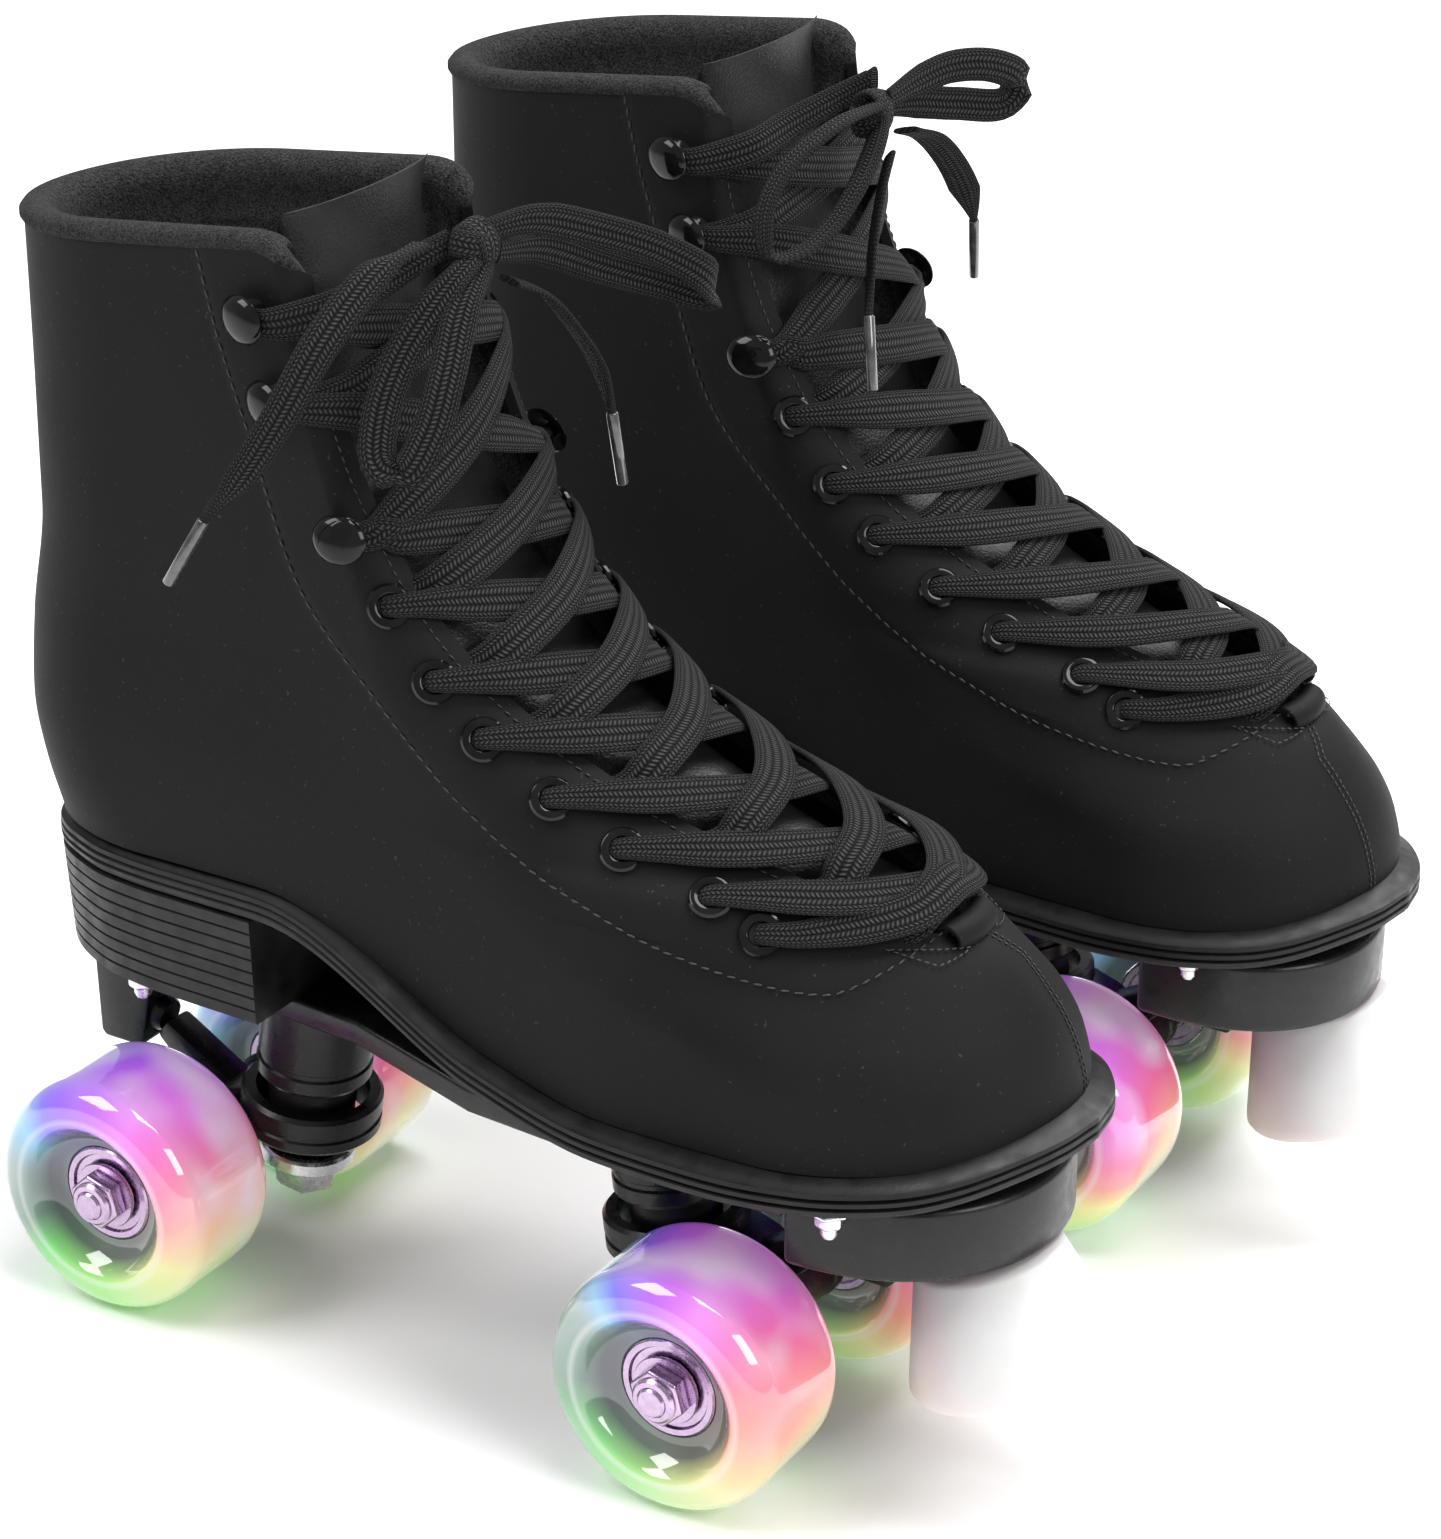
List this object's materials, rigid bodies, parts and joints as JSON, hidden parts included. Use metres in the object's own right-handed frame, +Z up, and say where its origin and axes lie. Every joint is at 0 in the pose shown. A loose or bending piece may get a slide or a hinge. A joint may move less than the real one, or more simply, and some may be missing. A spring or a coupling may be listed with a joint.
{
  "type": "quad roller skates",
  "caption": "Black lace-up quad roller skates with sprung trucks, glowing clear wheels and white toe stops.",
  "frame": {"origin": "on the floor, in the middle of the pair's box measured without the free laces", "axes": "+X towards the toes, +Z up, +Y from the right skate to the left skate"},
  "size_m": [0.2694, 0.2428, 0.2501],
  "materials": {
    "nubuck": "matte black nubuck-like synthetic leather",
    "fleece": "charcoal short-pile fleece",
    "tongue_leather": "satin black synthetic leather",
    "lace": "flat braided polyester, black",
    "rubber": "satin black rubber",
    "plate_plastic": "satin black moulded nylon",
    "steel": "bright zinc-plated steel",
    "urethane": "clear cast urethane lit from inside in changing colours",
    "toe_stop_white": "milky white satin polyurethane"
  },
  "bodies": {
    "right_boot": {"right_upper": "nubuck", "right_lining": "fleece", "right_tongue": "tongue_leather", "right_insole": "fleece", "right_outsole": "rubber", "right_heel_block": "rubber", "right_lacing": "lace", "right_lace_bow": "lace", "right_lace_tail_a": "lace", "right_lace_tail_b": "lace", "right_plate": "plate_plastic", "right_toe_stop": "toe_stop_white", "right_toe_stop_stem": "steel", "right_rear_kingpin": "steel", "right_rear_cushion": "rubber", "right_front_kingpin": "steel", "right_front_cushion": "rubber"},
    "right_rear_truck": {"right_rear_hanger": "plate_plastic", "right_rear_axle": "steel"},
    "right_rear_inner_wheel": {"right_rear_inner_wheel": "urethane", "right_rear_inner_bearings": "steel"},
    "right_rear_outer_wheel": {"right_rear_outer_wheel": "urethane", "right_rear_outer_bearings": "steel"},
    "right_front_truck": {"right_front_hanger": "plate_plastic", "right_front_axle": "steel"},
    "right_front_inner_wheel": {"right_front_inner_wheel": "urethane", "right_front_inner_bearings": "steel"},
    "right_front_outer_wheel": {"right_front_outer_wheel": "urethane", "right_front_outer_bearings": "steel"},
    "left_boot": {"left_upper": "nubuck", "left_lining": "fleece", "left_tongue": "tongue_leather", "left_insole": "fleece", "left_outsole": "rubber", "left_heel_block": "rubber", "left_lacing": "lace", "left_lace_bow": "lace", "left_lace_tail_a": "lace", "left_lace_tail_b": "lace", "left_plate": "plate_plastic", "left_toe_stop": "toe_stop_white", "left_toe_stop_stem": "steel", "left_rear_kingpin": "steel", "left_rear_cushion": "rubber", "left_front_kingpin": "steel", "left_front_cushion": "rubber"},
    "left_rear_truck": {"left_rear_hanger": "plate_plastic", "left_rear_axle": "steel"},
    "left_rear_inner_wheel": {"left_rear_inner_wheel": "urethane", "left_rear_inner_bearings": "steel"},
    "left_rear_outer_wheel": {"left_rear_outer_wheel": "urethane", "left_rear_outer_bearings": "steel"},
    "left_front_truck": {"left_front_hanger": "plate_plastic", "left_front_axle": "steel"},
    "left_front_inner_wheel": {"left_front_inner_wheel": "urethane", "left_front_inner_bearings": "steel"},
    "left_front_outer_wheel": {"left_front_outer_wheel": "urethane", "left_front_outer_bearings": "steel"}
  },
  "joints": [
    {"name": "right_rear_truck_tilt", "type": "hinge", "parent": "right_boot", "child": "right_rear_truck", "pos_m": [-0.07469, -0.06725, 0.037], "axis": [-0.9672, 0, 0.254], "range_deg": [-8, 8], "stiffness_Nm_per_rad": 18},
    {"name": "right_rear_inner_wheel_spin", "type": "hinge", "parent": "right_rear_truck", "child": "right_rear_inner_wheel", "pos_m": [-0.09869, -0.03475, 0.027], "axis": [0, 1, 0], "continuous": true},
    {"name": "right_rear_outer_wheel_spin", "type": "hinge", "parent": "right_rear_truck", "child": "right_rear_outer_wheel", "pos_m": [-0.09869, -0.09975, 0.027], "axis": [0, 1, 0], "continuous": true},
    {"name": "right_front_truck_tilt", "type": "hinge", "parent": "right_boot", "child": "right_front_truck", "pos_m": [0.02081, -0.06725, 0.037], "axis": [0.9672, 0, 0.254], "range_deg": [-8, 8], "stiffness_Nm_per_rad": 18},
    {"name": "right_front_inner_wheel_spin", "type": "hinge", "parent": "right_front_truck", "child": "right_front_inner_wheel", "pos_m": [0.04481, -0.03475, 0.027], "axis": [0, 1, 0], "continuous": true},
    {"name": "right_front_outer_wheel_spin", "type": "hinge", "parent": "right_front_truck", "child": "right_front_outer_wheel", "pos_m": [0.04481, -0.09975, 0.027], "axis": [0, 1, 0], "continuous": true},
    {"name": "left_skate_lift", "type": "slide", "parent": "right_boot", "child": "left_boot", "axis": [0, 0, 1], "range_m": [0, 0.3]},
    {"name": "left_rear_truck_tilt", "type": "hinge", "parent": "left_boot", "child": "left_rear_truck", "pos_m": [-0.06269, 0.06725, 0.037], "axis": [-0.9672, 0, 0.254], "range_deg": [-8, 8], "stiffness_Nm_per_rad": 18},
    {"name": "left_rear_inner_wheel_spin", "type": "hinge", "parent": "left_rear_truck", "child": "left_rear_inner_wheel", "pos_m": [-0.08669, 0.03475, 0.027], "axis": [0, 1, 0], "continuous": true},
    {"name": "left_rear_outer_wheel_spin", "type": "hinge", "parent": "left_rear_truck", "child": "left_rear_outer_wheel", "pos_m": [-0.08669, 0.09975, 0.027], "axis": [0, 1, 0], "continuous": true},
    {"name": "left_front_truck_tilt", "type": "hinge", "parent": "left_boot", "child": "left_front_truck", "pos_m": [0.03281, 0.06725, 0.037], "axis": [0.9672, 0, 0.254], "range_deg": [-8, 8], "stiffness_Nm_per_rad": 18},
    {"name": "left_front_inner_wheel_spin", "type": "hinge", "parent": "left_front_truck", "child": "left_front_inner_wheel", "pos_m": [0.05681, 0.03475, 0.027], "axis": [0, 1, 0], "continuous": true},
    {"name": "left_front_outer_wheel_spin", "type": "hinge", "parent": "left_front_truck", "child": "left_front_outer_wheel", "pos_m": [0.05681, 0.09975, 0.027], "axis": [0, 1, 0], "continuous": true}
  ]
}
